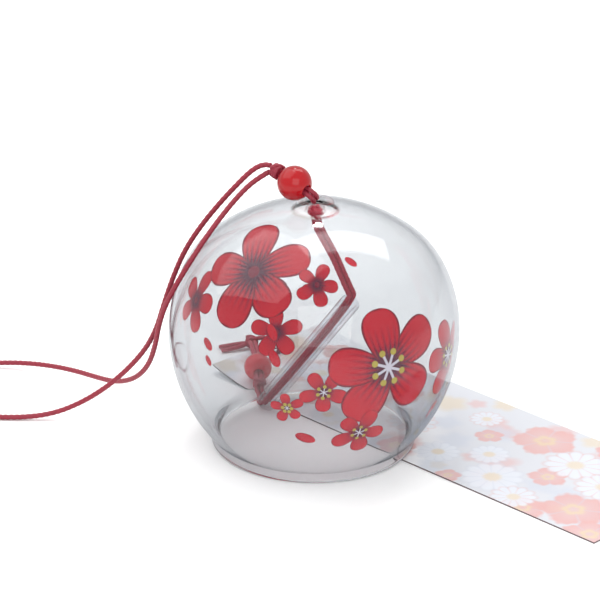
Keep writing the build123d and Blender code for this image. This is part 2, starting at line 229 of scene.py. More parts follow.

# Print and lightened base of the strip: where the base lightened under the bell as painted light
# ends, along both directions together, and over what length it gives way to the card's white; the
# washes by count and radius; the flowers by place along and across, and radius
LIGHTENED_BASE_END = 0.040
LIGHTENED_BASE_FADE = 0.016
WASHES = 70
WASH_R = (0.003, 0.008)
PINK_BLOSSOMS = [
    (0.0460, 0.0460, 0.0100), (0.0790, 0.0190, 0.0100), (0.0615, 0.0290, 0.0060),
    (0.0330, 0.0370, 0.0045), (0.0690, 0.0100, 0.0070), (0.0900, 0.0480, 0.0090),
    (0.0910, 0.0110, 0.0080), (0.0200, 0.0130, 0.0060), (0.0420, 0.0100, 0.0040),
    (0.0640, 0.0540, 0.0055), (0.0000, 0.0400, 0.0070), (-0.0180, 0.0200, 0.0060),
    (-0.0370, 0.0480, 0.0060),
]
WHITE_BLOSSOMS = [
    (0.0510, 0.0180, 0.0090), (0.0620, 0.0400, 0.0090), (0.0300, 0.0190, 0.0065),
    (0.0760, 0.0350, 0.0080), (0.0410, 0.0280, 0.0060), (0.0630, 0.0130, 0.0065),
    (0.0800, 0.0530, 0.0060), (0.0250, 0.0450, 0.0050), (0.0900, 0.0320, 0.0065),
    (0.0120, 0.0280, 0.0070), (-0.0080, 0.0140, 0.0060), (-0.0300, 0.0330, 0.0080),
]

# Lamps as name, place, two sides, power and the direction of the first side
LAMPS = [
    ("softbox", (-0.156, 0.415, 0.84), (0.74, 0.30), 2.0, (0.40, 0.83, -0.39)),
    ("lamp", (-0.45, 0.45, 0.80), (0.07, 0.07), 0.9, (1.0, 1.0, 0.0)),
    ("window", (-0.35, -0.25, 0.75), (0.9, 0.9), 3.2, (1.0, 0.0, 0.0)),
    ("fill", (0.75, -0.55, 0.55), (0.8, 0.8), 3.2, (1.0, 1.0, 0.0)),
]
LAMP_TARGET = (0, 0, 0.04)

# Camera, fitted to the globe's outline, the rim and the strip's edges; sensor and lens in mm
CAMERA_PLACE = (0.4650, -0.4650, 0.3092)
CAMERA_DIRECTION = (-0.6602, 0.6521, -0.3769)
CAMERA_ROLL = 0.0097
SENSOR_WIDTH = 36
TABLE_Z = -0.02 * MM


def srgb(text):
    """Linear colour with alpha from a hex colour: each channel over 255, then the sRGB curve."""
    channels = np.array([int(text[i : i + 2], 16) for i in (1, 3, 5)]) / 255
    linear = np.where(channels <= 0.04045, channels / 12.92, ((channels + 0.055) / 1.055) ** 2.4)
    return (*linear.tolist(), 1.0)


def placed(points):
    """Points measured from the middle of the mouth, moved to the row frame."""
    return np.asarray(points, float) + MOUTH


def unit(vectors):
    """Each vector over its own length."""
    vectors = np.asarray(vectors, float)
    return vectors / np.linalg.norm(vectors, axis=-1, keepdims=True)


def axis_frame(axis):
    """Three unit vectors, the last along the axis and the first level where it can be."""
    along = unit(axis)
    helper = np.array([0.0, 0.0, 1.0]) if abs(along[2]) < 0.9 else np.array([1.0, 0.0, 0.0])
    across = unit(np.cross(helper, along))
    return np.stack([across, np.cross(along, across), along])


def leaned(points):
    """Points of the upright globe, tipped about a level axis by the lean and lifted by its rise."""
    angle = np.arcsin(LEAN_RISE / (rim_radius() - RIM_THICKNESS / 2))
    axis = (-np.sin(LEAN_AZIMUTH), np.cos(LEAN_AZIMUTH), 0)
    turn = np.array(Matrix.Rotation(angle, 3, Vector(axis)))
    return points @ turn.T + np.array([0, 0, LEAN_RISE])


def join(grids):
    """One vertex array and one quad array from several (vertices, quads) pairs."""
    starts = np.cumsum([0] + [len(vertices) for vertices, quads in grids])
    vertices = np.concatenate([vertices for vertices, quads in grids])
    quads = np.concatenate([quads + start for (_, quads), start in zip(grids, starts)])
    return vertices, quads


def grid(points, close_rows=False, close_columns=False):
    """Quads over a (rows, columns, 3) array: each joins a point to the next row and column."""
    rows, columns = points.shape[:2]
    index = np.arange(rows * columns).reshape(rows, columns)
    if close_rows:
        index = np.vstack([index, index[:1]])
    if close_columns:
        index = np.hstack([index, index[:, :1]])
    quads = np.stack([index[:-1, :-1], index[:-1, 1:], index[1:, 1:], index[1:, :-1]], -1)
    return points.reshape(-1, 3), quads.reshape(-1, 4)


def mesh_object(name, vertices, quads, material, body, nodes, slot=None, colours=None, held=None):
    """A smooth mesh from whole arrays, riding on a body and standing for its CAD nodes.

    With held, it is left in place in the world and rides on no body.
    """
    mesh = bpy.data.meshes.new(name)
    mesh.vertices.add(len(vertices))
    mesh.vertices.foreach_set("co", np.asarray(vertices, np.float32).ravel())
    mesh.loops.add(quads.size)
    mesh.loops.foreach_set("vertex_index", quads.astype(np.int32).ravel())
    mesh.polygons.add(len(quads))
    mesh.polygons.foreach_set("loop_start", np.arange(0, quads.size, 4, dtype=np.int32))
    mesh.polygons.foreach_set("use_smooth", np.ones(len(quads), bool))
    if colours is not None:
        layer = mesh.color_attributes.new("paint", "FLOAT_COLOR", "POINT")
        layer.data.foreach_set("color", np.asarray(colours, np.float32).ravel())
    mesh.update(calc_edges=True)
    mesh.validate()
    mesh.materials.append(material)
    piece = bpy.data.objects.new(name, mesh)
    bpy.context.scene.collection.objects.link(piece)
    if held:
        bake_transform(piece)
    else:
        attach(piece, body)
    if nodes:
        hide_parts(*nodes)
    return piece


def revolved(outline, segments):
    """A closed outline of (radius, height) turned about the vertical axis."""
    angles = np.linspace(0, 2 * np.pi, segments, endpoint=False)
    radius, height = outline[:, 0][:, None], outline[:, 1][:, None]
    circle = np.stack([np.cos(angles), np.sin(angles)])
    points = [radius * circle[0], radius * circle[1], height + 0 * angles]
    return np.stack(points, -1)


def arc_points(center, radius, start, end, count):
    """Points on an arc: the center plus the radius along evenly spaced angles."""
    angles = np.linspace(start, end, count)
    return np.stack([center[0] + radius * np.cos(angles), center[1] + radius * np.sin(angles)], -1)


def wall_arcs(inset):
    """Centers and radii of the four tangent wall arcs, moved inwards by the inset."""
    belly = np.array([BALL_R - BELLY_ARC_R, BALL_Z])
    equator = np.array([BALL_R - EQUATOR_ARC_R, BALL_Z])
    first = np.array([np.cos(EQUATOR_ARC_END), np.sin(EQUATOR_ARC_END)])
    shoulder = equator + (EQUATOR_ARC_R - SHOULDER_ARC_R) * first
    crown_r = SHOULDER_ARC_R + shoulder[0] / np.cos(SHOULDER_ARC_END)
    second = np.array([np.cos(SHOULDER_ARC_END), np.sin(SHOULDER_ARC_END)])
    crown = shoulder + (SHOULDER_ARC_R - crown_r) * second
    radii = (BELLY_ARC_R, EQUATOR_ARC_R, SHOULDER_ARC_R, crown_r)
    return [(c, r - inset) for c, r in zip((belly, equator, shoulder, crown), radii)]


def rim_radius():
    """Outer radius of the rim, where the belly arc comes down to the rim's top."""
    (center, radius) = wall_arcs(0)[0]
    return center[0] + np.sqrt(radius**2 - (RIM_TOP_Z - center[1]) ** 2)


def wall_line(inset, foot_r, crown_r):
    """The wall as (radius, height) points from the rim up to the crown, along its four arcs."""
    belly, equator, shoulder, crown = wall_arcs(inset)
    foot = -np.arccos((foot_r - belly[0][0]) / belly[1])
    crown_end = np.arccos(crown_r / crown[1])
    parts = [
        arc_points(*belly, foot, 0, 44),
        arc_points(*equator, 0, EQUATOR_ARC_END, 30)[1:],
        arc_points(*shoulder, EQUATOR_ARC_END, SHOULDER_ARC_END, 26)[1:],
        arc_points(*crown, SHOULDER_ARC_END, crown_end, 40)[1:],
    ]
    return np.concatenate(parts)


def globe_outline():
    """The closed outline of the glass: outer wall, collar, hole, inner wall and rolled rim."""
    outer_rim = rim_radius()
    inner_rim = outer_rim - RIM_THICKNESS
    outer = wall_line(0, outer_rim, COLLAR_R)
    inner = wall_line(WALL, inner_rim, SEAT_R)
    corner = (COLLAR_R - COLLAR_ROUNDING, COLLAR_TOP_Z - COLLAR_ROUNDING)
    collar_edge = arc_points(corner, COLLAR_ROUNDING, 0, np.pi / 2, 9)
    lip = (FUNNEL_R, COLLAR_TOP_Z - FUNNEL_ROUNDING)
    funnel = arc_points(lip, FUNNEL_ROUNDING, np.pi / 2, np.pi, 6)
    throat = np.array([(THROAT_R, THROAT_TOP_Z), (THROAT_R, THROAT_FOOT_Z), (SEAT_R, SEAT_Z)])
    middle = outer_rim - RIM_THICKNESS / 2
    rim = arc_points((middle, RIM_THICKNESS / 2), RIM_THICKNESS / 2, np.pi, 2 * np.pi, 15)
    return np.concatenate([outer, collar_edge, funnel, throat, inner[::-1], rim])


def on_wall(azimuth, height, across, up, inset):
    """Points on the wall: a flat drawing bent onto it, its width as azimuth, its height as arc."""
    line = wall_line(inset, rim_radius() - RIM_THICKNESS, SEAT_R)
    lengths = np.concatenate([[0], np.cumsum(np.hypot(*np.diff(line, axis=0).T))])
    along = height + up
    radius = np.interp(along, lengths, line[:, 0])
    level = np.interp(along, lengths, line[:, 1])
    angle = azimuth + across / radius
    points = np.stack([radius * np.cos(angle), radius * np.sin(angle), level], -1)
    return placed(leaned(points))


def node(tree, kind, x, y, **inputs):
    """One shader node at a place, with constants set on its sockets and links made from others."""
    made = tree.nodes.new(kind)
    made.location = (x, y)
    for key, value in inputs.items():
        numbered = key[0] == "i" and key[1:].isdigit()
        fed(tree, made.inputs[int(key[1:]) if numbered else key], value)
    return made


def fed(tree, socket, value):
    """A socket set to a constant, or linked where the value is another socket."""
    if isinstance(value, bpy.types.NodeSocket):
        tree.links.new(value, socket)
    else:
        socket.default_value = value


def figured(tree, x, y, operation, first, second):
    """One value worked out from two."""
    made = node(tree, "ShaderNodeMath", x, y, i0=first, i1=second)
    made.operation = operation
    return made.outputs[0]


def mixed(tree, x, y, share, first, second):
    """Two shaders mixed by a share from zero to one."""
    return node(tree, "ShaderNodeMixShader", x, y, i0=share, i1=first, i2=second).outputs[0]


def new_material(name):
    """An empty material, its node tree and its output."""
    material = bpy.data.materials.new(name)
    material.use_nodes = True
    tree = material.node_tree
    tree.nodes.clear()
    return material, tree, node(tree, "ShaderNodeOutputMaterial", 400, 0)


def principled(tree, output, **inputs):
    """A principled shader with the given inputs, linked to the output."""
    shader = node(tree, "ShaderNodeBsdfPrincipled", 100, 0, **inputs)
    tree.links.new(shader.outputs[0], output.inputs[0])
    return shader


def stored_paint(tree):
    """The colours stored on the piece's points."""
    paint = node(tree, "ShaderNodeAttribute", -300, 0)
    paint.attribute_name = "paint"
    return paint.outputs["Color"]


def object_place(tree, x, y):
    """The shaded point in the object's own metres."""
    return node(tree, "ShaderNodeTexCoord", x, y).outputs["Object"]


def height_share(tree, x, y, low, high):
    """Zero below one height of the object and one above another, between the two in proportion."""
    place = object_place(tree, x - 400, y)
    parts = node(tree, "ShaderNodeSeparateXYZ", x - 200, y, Vector=place)
    span = {"Value": parts.outputs["Z"], "From Min": low, "From Max": high}
    return node(tree, "ShaderNodeMapRange", x, y, **span).outputs[0]


def near_share(tree, x, y, center, far, near):
    """Zero beyond one distance from a point of the object and one within another."""
    place = object_place(tree, x - 400, y)
    gap = node(tree, "ShaderNodeVectorMath", x - 200, y, i0=place, i1=tuple(center))
    gap.operation = "DISTANCE"
    span = {"Value": gap.outputs["Value"], "From Min": far, "From Max": near}
    return node(tree, "ShaderNodeMapRange", x, y, **span).outputs[0]


def tinted(tree, x, y, share, low, high):
    """Colour between two, by a share from zero to one."""
    mix = node(tree, "ShaderNodeMix", x, y, Factor=share)
    mix.data_type = "RGBA"
    fed(tree, mix.inputs[6], low)
    fed(tree, mix.inputs[7], high)
    return mix.outputs[2]


def steepness(tree, x, y, power, scale):
    """How far the surface turns away from the eye, raised to a power and scaled."""
    edge = node(tree, "ShaderNodeLayerWeight", x - 400, y, Blend=0.5)
    steep = figured(tree, x - 200, y, "POWER", edge.outputs["Facing"], power)
    return figured(tree, x, y, "MULTIPLY", steep, scale)


def glass_material(name, colour, crown_colour, edge_shade_colour):
    """Clear blown soda-lime glass, with a painted grey reflection in the belly and painted shade at
    its edges, clear at the collar.
    """
    material, tree, output = new_material(name)
    # Painted reflection: the belly's grey fades with height to the clearer crown
    crown = height_share(tree, -600, 300, *CROWN_FADE_Z)
    body = tinted(tree, -400, 300, crown, colour, crown_colour)
    collar = near_share(tree, -600, -300, placed(HOLE_CENTER), *COLLAR_FADE)
    edge = tinted(tree, -400, 500, collar, edge_shade_colour, COLLAR_EDGE_SHADE)
    body = tinted(tree, -300, 500, collar, body, COLLAR_TINT)
    # Painted shade: the tint greys where the surface turns from the eye
    tint = tinted(tree, -200, 300, steepness(tree, -400, 0, 9.0, 0.8), body, edge)
    blur = figured(tree, -400, -300, "MULTIPLY", collar, COLLAR_ROUGHNESS)
    through = node(
        tree, "ShaderNodeBsdfRefraction", 0, 200, Color=tint, Roughness=blur, IOR=GLASS_IOR
    )
    mirror = tinted(tree, -200, 0, collar, WALL_MIRROR, COLLAR_MIRROR)
    shine = node(tree, "ShaderNodeBsdfAnisotropic", 0, 0, Color=mirror, Roughness=blur)
    fresnel = node(tree, "ShaderNodeFresnel", 0, 350, IOR=GLASS_IOR)
    glass = mixed(tree, 200, 100, fresnel.outputs[0], through.outputs[0], shine.outputs[0])
    open_share = figured(tree, -200, -300, "MULTIPLY", collar, COLLAR_OPEN_SHARE)
    clear = node(tree, "ShaderNodeBsdfTransparent", 0, -200, Color=tint)
    both = mixed(tree, 400, 0, open_share, glass, clear.outputs[0])
    tree.links.new(both, output.inputs[0])
    return material


def tube_material(name, colour, edge_shade_colour):
    """Thin drawn glass tube: straight through, greyed at its sides as painted shade, with mirror
    reflections that grow at its sides.
    """
    material, tree, output = new_material(name)
    # Painted shade: the tube's tint greys where its surface turns from the eye
    tint = tinted(tree, -200, 0, steepness(tree, -400, 0, 6.0, 1.0), colour, edge_shade_colour)
    clear = node(tree, "ShaderNodeBsdfTransparent", 0, 0, Color=tint)
    shine = node(tree, "ShaderNodeBsdfAnisotropic", 0, -200, Roughness=0.04)
    sides = steepness(tree, 0, 200, 4.0, 0.9)
    glass = mixed(tree, 200, 0, sides, clear.outputs[0], shine.outputs[0])
    tree.links.new(glass, output.inputs[0])
    return material


def paint_material():
    """Hand-painted enamel on the inside of the glass, from the colours stored on the petals, with a
    faint painted glow.
    """
    material, tree, output = new_material("Hand-painted enamel")
    paint = stored_paint(tree)
    inputs = {
        "Base Color": paint,
        "Roughness": 0.35,
        "Specular IOR Level": 0.2,
        # Painted light: the enamel glows in its own colours, standing in for light through the
        # glass
        "Emission Color": paint,
        "Emission Strength": 0.55,
    }
    shader = principled(tree, output, **inputs)
    light = node(tree, "ShaderNodeBsdfTranslucent", 100, -300, Color=paint)
    enamel = mixed(tree, 260, 0, 0.25, shader.outputs[0], light.outputs[0])
    tree.links.new(enamel, output.inputs[0])
    return material


def bead_material(name, colour, edge_shade_colour):
    """Moulded translucent red resin bead, polished, darker towards its edges as painted shade, with
    a faint painted glow.
    """
    material, tree, output = new_material(name)
    # Painted shade: the resin darkens where the surface turns from the eye
    depth = tinted(tree, -200, 0, steepness(tree, -400, 0, 2.0, 1.0), colour, edge_shade_colour)
    inputs = {
        "Base Color": depth,
        # Painted light: the bead glows faintly in its own colour
        "Emission Color": depth,
        "Emission Strength": 0.2,
        "Roughness": 0.07,
        "IOR": 1.5,
        "Specular IOR Level": 0.35,
        "Transmission Weight": 0.1,
    }
    principled(tree, output, **inputs)
    return material


def cord_material(name, colour, dark):
    """Twisted rayon cord: a satin sheen over fine fibres that run along the strands."""
    material, tree, output = new_material(name)
    place = object_place(tree, -900, 0)
    noise = node(tree, "ShaderNodeTexNoise", -700, 0, Vector=place, Scale=2600.0, Detail=3.0)
    fibres = noise.outputs["Fac"]
    bump = node(
        tree, "ShaderNodeBump", -300, -200, Strength=0.35, Distance=0.1 * MM, Height=fibres
    )
    inputs = {
        "Base Color": tinted(tree, -300, 100, fibres, dark, colour),
        "Roughness": 0.5,
        "Normal": bump.outputs[0],
        "Sheen Weight": 0.3,
        "Sheen Roughness": 0.4,
        "Sheen Tint": colour,
    }
    principled(tree, output, **inputs)
    return material


def card_material():
    """Coated white card with a pale flower print, from the colours stored on the sheet."""
    material, tree, output = new_material("Printed coated card")
    principled(tree, output, **{"Base Color": stored_paint(tree), "Roughness": 0.45})
    return material


def route_line(route):
    """Evenly spaced points on the NURBS spline whose control points are the route."""
    curve = bpy.data.curves.new("route", "CURVE")
    curve.dimensions = "3D"
    curve.resolution_u = 24
    spline = curve.splines.new("NURBS")
    spline.points.add(len(route) - 1)
    control = np.hstack([placed(route), np.ones((len(route), 1))])
    spline.points.foreach_set("co", control.ravel())
    spline.order_u = 3
    spline.use_endpoint_u = True
    holder = bpy.data.objects.new("route", curve)
    mesh = bpy.data.meshes.new_from_object(holder)
    line = np.zeros(len(mesh.vertices) * 3)
    mesh.vertices.foreach_get("co", line)
    line = line.reshape(-1, 3)
    bpy.data.meshes.remove(mesh)
    bpy.data.objects.remove(holder)
    bpy.data.curves.remove(curve)
    lengths = np.concatenate([[0], np.cumsum(np.linalg.norm(np.diff(line, axis=0), axis=1))])
    even = np.linspace(0, lengths[-1], max(12, int(lengths[-1] / ROUTE_SPACING)))
    return np.stack([np.interp(even, lengths, line[:, i]) for i in range(3)], -1)


def line_frames(line, side=None):
    """Directions along a line and two across it, turned back by the running sum of their twist."""
    along = unit(np.gradient(line, axis=0))
    helper = np.linalg.eigh(along.T @ along)[1][:, 0]
    across = unit(np.cross(helper, along))
    upward = np.cross(along, across)
    twist = np.cumsum(np.sum(np.gradient(across, axis=0) * upward, axis=1))
    angle = -(twist - twist[0])
    if side is not None:
        angle += np.arctan2(np.dot(side, upward[0]), np.dot(side, across[0]))
    cosine, sine = np.cos(angle)[:, None], np.sin(angle)[:, None]
    return along, across * cosine + upward * sine, upward * cosine - across * sine


def strand(line, radius):
    """A twisted cord along a line: a circle with one lobe per ply, turning as it goes."""
    _, across, upward = line_frames(line)
    steps = np.linalg.norm(np.diff(line, axis=0), axis=1)
    travelled = np.concatenate([[0], np.cumsum(steps)])[:, None]
    angles = np.linspace(0, 2 * np.pi, STRAND_COLUMNS, endpoint=False)[None, :]
    turn = 2 * np.pi * travelled / (PLIES * TWIST_PITCH)
    lobes = np.abs(np.sin(PLIES / 2 * (angles - turn)))
    ends = np.ones((len(line), 1))
    ends[[0, -1]] = 0.02
    ends[[1, -2]] = 0.85
    size = radius * (1 - PLY_DEPTH * (1 - lobes)) * ends
    offsets = across[:, None] * (size * np.cos(angles))[..., None]
    offsets = offsets + upward[:, None] * (size * np.sin(angles))[..., None]
    return grid(line[:, None] + offsets, close_columns=True)


def paired(route, side):
    """A doubled cord: two strands beside a route, half their spacing to each side of it."""
    line = route_line(route)
    _, across, _ = line_frames(line, side)
    return [strand(line + across * offset, STRAND_R) for offset in (PAIR_HALF, -PAIR_HALF)]


def knot_grids(center, axis, length):
    """A wound knot: a helix of cord round a core, with one pass crossing back over it."""
    frame_axes = axis_frame(axis)
    ring = KNOT_R - WRAP_R
    share = np.linspace(0, 1, 220)
    angle = 2 * np.pi * KNOT_TURNS * share
    height = (share - 0.5) * (length - 2 * WRAP_R)
    inward = np.clip(np.minimum(share, 1 - share) / 0.06, 0, 1)
    reach = ring * (0.45 + 0.55 * inward)
    helix = np.stack([reach * np.cos(angle), reach * np.sin(angle), height], -1)
    share = np.linspace(0, 1, 70)
    sweep = np.pi * (0.15 + 0.7 * share)
    bulge = (ring + 0.5 * WRAP_R) * np.clip(np.sin(np.pi * share) * 3, 0.3, 1)
    cross_height = (0.5 - share) * (length - 1.2 * WRAP_R)
    crossing = np.stack([bulge * np.cos(sweep), bulge * np.sin(sweep), cross_height], -1)
    core_line = np.stack([np.zeros(12), np.zeros(12), np.linspace(-0.46, 0.46, 12) * length], -1)
    lines = [(helix, WRAP_R), (crossing, WRAP_R), (core_line, ring * 0.95)]
    start = placed(center)
    return [strand(line @ frame_axes + start, size) for line, size in lines]


def bead_grid(center, axis, radius):
    """A ball with a rounded bore: its outline turned about the bore, then set on its axis."""
    mouth_r = BORE_R + BORE_ROUNDING
    reach = np.sqrt(radius**2 - mouth_r**2)
    edge = np.arctan2(reach, mouth_r)
    outer = arc_points((0, 0), radius, -edge, edge, 72)
    corner = (mouth_r, reach - BORE_ROUNDING)
    rounding = arc_points(corner, BORE_ROUNDING, np.pi / 2, np.pi, 6)
    lower = rounding[::-1] * np.array([1, -1])
    outline = np.concatenate([outer, rounding, lower])
    points = revolved(outline, 96) @ axis_frame(axis)
    return grid(points + placed(center), close_rows=True, close_columns=True)


def tube_grid():
    """A drawn glass tube with fire-polished ends, turned about its axis and leaned into place."""
    foot, top = np.array(TUBE_FOOT), np.array(TUBE_TOP)
    length = np.linalg.norm(top - foot)
    rounding = (TUBE_R - TUBE_BORE_R) / 2
    middle = (TUBE_R + TUBE_BORE_R) / 2
    upper = arc_points((middle, length - rounding), rounding, 0, np.pi, 11)
    lower = arc_points((middle, rounding), rounding, np.pi, 2 * np.pi, 11)
    points = revolved(np.concatenate([upper, lower]), 96) @ axis_frame(top - foot)
    return grid(points + placed(foot), close_rows=True, close_columns=True)


def petal_drawing(length, width):
    """A petal as (along, across, share along, share across).

    Half its width is a power of the share along it, times the root of one less another power.
    """
    share = np.sin(np.linspace(0, np.pi / 2, 36))[:, None]
    side = np.linspace(-1, 1, 29)[None, :]
    half = width * 1.5 * (0.12 + share) ** 0.75 * np.sqrt(np.clip(1 - share**2.5, 0.0001, 1))
    wave = 1 + 0.03 * np.sin(5 * share + 2 * side) * (1 - share)
    along = length * (0.05 + 0.95 * share)
    return along + 0 * side, half * side * wave, share + 0 * side, side + 0 * share


def petal_colours(share, side, red, edge, base):
    """Red enamel that darkens to the base, along five veins and at the outline.

    The base and the outline are clipped slopes, the veins bell curves that fade half way up.
    """
    outline = np.clip((np.abs(side) - 0.86) / 0.08, 0, 1) * (share > 0.12)
    outline = np.maximum(outline, np.clip((share - 0.955) / 0.03, 0, 1))
    veins = np.exp(-(((np.abs(side) - 0.34) / 0.07) ** 2)) + np.exp(-((side / 0.07) ** 2))
    veins = veins + np.exp(-(((np.abs(side) - 0.66) / 0.07) ** 2))
    dark_base = np.clip(1.25 - share / 0.32, 0, 1) ** 1.2
    veins = veins * np.clip(1.3 - share / 0.55, 0, 1)
    weight_edge = np.clip(outline * 0.9, 0, 1)[..., None]
    weight_base = np.clip(dark_base + veins, 0, 1)[..., None]
    colour = np.array(red) * (1 - weight_base) + np.array(base) * weight_base
    return colour * (1 - weight_edge) + np.array(edge) * weight_edge


def turned(along, across, angle):
    """A drawing's two coordinates turned by an angle, as (rightwards, upwards)."""
    right = along * np.cos(angle) - across * np.sin(angle)
    return right, along * np.sin(angle) + across * np.cos(angle)


def disc(radius, core, steps):
    """A round spot as (rightwards, upwards): rings from a share of the radius out to all of it."""
    spread = np.linspace(0, 2 * np.pi, steps)[None, :]
    size = radius * np.linspace(core, 1, 4)[:, None]
    return size * np.cos(spread), size * np.sin(spread)


def blossom_grids(blossom, colours):
    """Five petals, a heart and a ring of stamens, bent onto the inside of the wall."""
    azimuth, height, radius, turns = blossom
    azimuth, turns = np.radians(azimuth), np.radians(turns)
    red, edge, base, tip, thread = np.array(colours)
    large = radius > LARGE_BLOSSOM_R
    layers = []
    for index, turn in enumerate(turns):
        stretch = 1 + 0.06 * np.sin(2.4 * index + 9 * azimuth)
        width = radius * (0.35 if large else 0.31) * (1 + 0.08 * np.sin(1.7 * index + 3.6))
        along, across, share, side = petal_drawing(radius * stretch, width)
        paint = petal_colours(share, side, red, edge, base)
        layers.append((turned(along, across, turn), PETAL_DEPTH + PETAL_STEP * index, paint))
    layers.append((disc(radius * 0.11, 0.01, 24), HEART_DEPTH, 0.25 * red + 0.75 * base))
    count = 8 if large else 6
    reach = radius * 0.26
    share = np.linspace(0.0, 1, 6)[:, None]
    side = np.linspace(-1, 1, 3)[None, :]
    for index in range(count):
        angle = turns[0] + 0.3 + index * 2 * np.pi / count
        line = turned(reach * share + 0 * side, radius * 0.022 * side + 0 * share, angle)
        layers.append((line, THREAD_DEPTH, thread))
        right, up = disc(max(radius * 0.055, LEAST_TIP_R), 0.02, 12)
        layers.append((turned(reach + right, up, angle), TIP_DEPTH, tip))
    grids, paints = [], []
    for (right, up), depth, paint in layers:
        grids.append(grid(on_wall(azimuth, height, right, up, WALL + depth)))
        paints.append(np.broadcast_to(paint, (*right.shape, 4)).reshape(-1, 4))
    return grids, paints


def loose_petal(petal, colours):
    """An oval petal that has blown off a blossom: an ellipse, turned and bent onto the wall."""
    azimuth, height, length, turn = petal
    share = (1 - np.cos(np.linspace(0, np.pi, 16)))[:, None] / 2
    side = np.linspace(-1, 1, 9)[None, :]
    across = length * 0.58 * np.sqrt(np.clip(share * (1 - share), 0.001, 1)) * side
    right, up = turned(length * (share - 0.5) + 0 * side, across, np.radians(turn))
    points = on_wall(np.radians(azimuth), height, right, up, WALL + PETAL_DEPTH)
    paint = petal_colours(0.45 + 0.5 * share + 0 * side, side + 0 * share, *colours[:3])
    return grid(points), paint.reshape(-1, 4)


def strip_lift(x):
    """Height of the strip's underside: zero where flat, a circle's rise where curled."""
    past = np.clip(STRIP_CURL_X - x, 0, None)
    return STRIP_CURL_R - np.sqrt(STRIP_CURL_R**2 - past**2)


def on_strip(x, y, rise):
    """Points above the strip's underside: its height there plus the rise."""
    return placed(np.stack([x, y, strip_lift(x) + rise], -1))


def scattered(rng, count, least, most):
    """Random places on the strip, each with a size between two limits and a turn."""
    across = rng.uniform(STRIP_LEFT_X, STRIP_RIGHT_X, count)
    back = rng.uniform(STRIP_FRONT_Y, STRIP_BACK_Y, count)
    return zip(across, back, rng.uniform(least, most, count), rng.uniform(0, 6, count))


def blended(paint, weight, colour):
    """Paint mixed with a colour by a weight at each point."""
    return paint * (1 - weight[..., None]) + np.array(colour) * weight[..., None]


def around(x, y, place, petals, turn, depth):
    """Distance from a flower's middle over its outline there, and the angle in petals."""
    center_x, center_y, radius = place
    dx, dy = x - center_x, y - center_y
    angle = petals / 2 * (np.arctan2(dy, dx) + turn)
    return np.hypot(dx, dy) / (radius * (1 - depth + depth * np.abs(np.cos(angle)))), angle


def strip_print(x, y, colours):
    """Pale flower print: soft washes, pink five-petalled blossoms, white many-petalled ones, over a
    base lightened under the bell as painted light.

    Each weight falls off across a flower's outline, or is a bell curve round a fold or a ring.
    """
    lightened_base, card, pink, peach, blue, white = colours
    rng = np.random.default_rng(11)
    # Painted light: the base is lightened under the bell and fades to the card's white
    fade = np.clip((x + y - LIGHTENED_BASE_END) / LIGHTENED_BASE_FADE, 0, 1)
    paint = blended(np.tile(np.array(lightened_base), (*x.shape, 1)), fade, card)
    for center_x, center_y, size, turn in scattered(rng, WASHES, *WASH_R):
        distance, _ = around(x, y, (center_x, center_y, size), 5, turn, 0.25)
        weight = np.clip((1.0 - distance) / 0.5, 0, 1) * 0.55
        paint = blended(paint, weight, pink if turn < 2.6 else peach if turn < 4.2 else blue)
    for index, place in enumerate(PINK_BLOSSOMS):
        distance, angle = around(x, y, place, 5, 1.3 * index, 0.22)
        ragged = 0.05 * np.sin(1900 * x + index) * np.sin(1600 * y + 2 * index)
        inside = np.clip((1.0 + ragged - distance) / 0.14, 0, 1)
        paint = blended(paint, inside * (0.62 + 0.36 * np.clip(distance, 0, 1)), pink)
        fold = np.exp(-((np.cos(angle) / 0.14) ** 2)) * (distance < 1) * 0.35
        paint = blended(paint, fold, blue)
        paint = blended(paint, np.exp(-(((distance - 0.24) / 0.10) ** 2)) * 0.8, peach)
    for index, place in enumerate(WHITE_BLOSSOMS):
        distance, angle = around(x, y, place, 12, 0.9 * index, 0.16)
        paint = blended(paint, np.clip((1.0 - distance) / 0.16, 0, 1) * 0.85, white)
        fold = np.exp(-((np.cos(angle) / 0.22) ** 2)) * (distance < 1) * (distance > 0.3) * 0.5
        line = np.exp(-(((distance - 1.0) / 0.06) ** 2)) * 0.3
        paint = blended(paint, np.clip(line + fold, 0, 1), pink if index % 2 else blue)
        paint = blended(paint, np.clip((0.36 - distance) / 0.14, 0, 1) * 0.65, peach)
    return paint


class BellSizes(bpy.types.PropertyGroup):
    """Sizes that a user would change"""

    camera_lens: bpy.props.FloatProperty(
        name="Lens", description="Focal length on a 36 mm sensor", default=155.3, min=20.0
    )
    floor_size: bpy.props.FloatProperty(
        name="Floor", description="Side of the square floor", default=8.0, unit="LENGTH"
    )
    globe_segments: bpy.props.IntProperty(
        name="Globe segments", description="Steps round the globe", default=224, min=24, max=300
    )


def colour_property(name, description, text):
    """A colour of the panel, with its default as hex."""
    return bpy.props.FloatVectorProperty(
        name=name, description=description, default=srgb(text), size=4, subtype="COLOR",
        min=0, max=1,
    )


